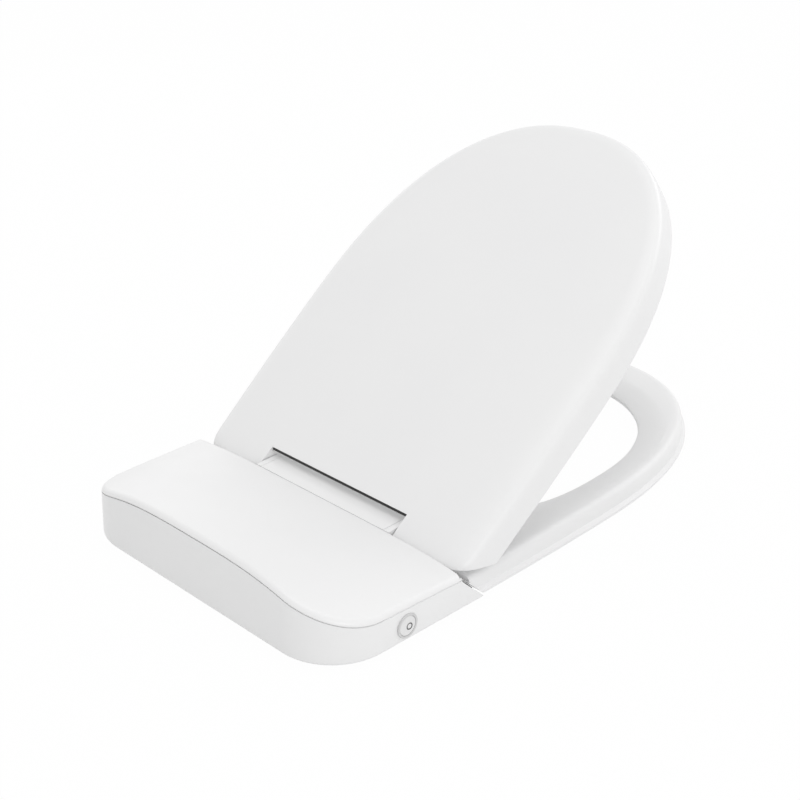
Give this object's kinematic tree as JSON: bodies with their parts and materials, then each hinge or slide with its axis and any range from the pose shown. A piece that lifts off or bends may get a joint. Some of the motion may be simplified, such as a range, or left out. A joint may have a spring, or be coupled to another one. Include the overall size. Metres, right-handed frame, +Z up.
{
  "type": "bidet toilet seat",
  "caption": "Slim white bidet toilet seat: wrap-over lid and D-shaped seat hinged on a low rear housing with a side push button and a sliding wash nozzle.",
  "frame": {"origin": "midway between the two bowl-fixing holes, on the plane of the bowl rim", "axes": "+Z up, the front of the seat towards -Y, the push button on the -X wall at the user's right hand"},
  "size_m": [0.3386, 0.5882, 0.295],
  "materials": {
    "white_plastic": "satin-gloss moulding",
    "seat_plastic": "gloss moulding",
    "button_plastic": "satin moulding",
    "grey_polymer": "matte moulding",
    "dark_polymer": "matte moulding",
    "board_green": "coated laminate",
    "grey_rubber": "soft matte",
    "black_rubber": "soft matte",
    "steel": "stainless",
    "brass": "machined"
  },
  "bodies": {
    "base": {"lower_case": "white_plastic", "top_cover": "white_plastic", "case_screws": "steel", "hinge_pins": "steel", "button_bezel": "white_plastic", "button_spring": "steel", "micro_switch": "dark_polymer", "mounting_plate": "grey_polymer", "plate_pads": "black_rubber", "case_feet": "black_rubber", "nozzle_guide": "grey_polymer", "water_inlet": "brass", "inlet_seal": "black_rubber", "inlet_valve": "dark_polymer", "water_heater": "grey_polymer", "cable_gland": "black_rubber", "control_board": "board_green"},
    "seat": {"hinge_block": "white_plastic", "seat_ring": "seat_plastic", "seat_base": "seat_plastic", "seat_screws": "steel", "seat_bumpers": "grey_rubber", "seat_bushes": "grey_polymer", "seat_damper": "dark_polymer"},
    "lid": {"lid_shell": "white_plastic", "lid_bushes": "grey_polymer", "lid_damper": "dark_polymer", "lid_bumpers": "grey_rubber"},
    "button": {"button_cap": "button_plastic"},
    "nozzle": {"nozzle_tube": "steel", "nozzle_tip": "seat_plastic"}
  },
  "joints": [
    {"name": "seat_hinge", "type": "hinge", "parent": "base", "child": "seat", "pos_m": [0, -0.045, 0.034], "axis": [-1, 0, 0], "range_deg": [0, 40]},
    {"name": "lid_hinge", "type": "hinge", "parent": "seat", "child": "lid", "pos_m": [0, -0.045, 0.034], "axis": [-1, 0, 0], "range_deg": [-36.5, 35.5]},
    {"name": "button_press", "type": "slide", "parent": "base", "child": "button", "axis": [1, 0, 0], "range_m": [0, 0.002], "stiffness_N_per_m": 800, "springref_m": -0.001, "deforming": ["button_spring"]},
    {"name": "nozzle_slide", "type": "slide", "parent": "base", "child": "nozzle", "axis": [0, -0.9659, -0.2588], "range_m": [0, 0.075]}
  ]
}
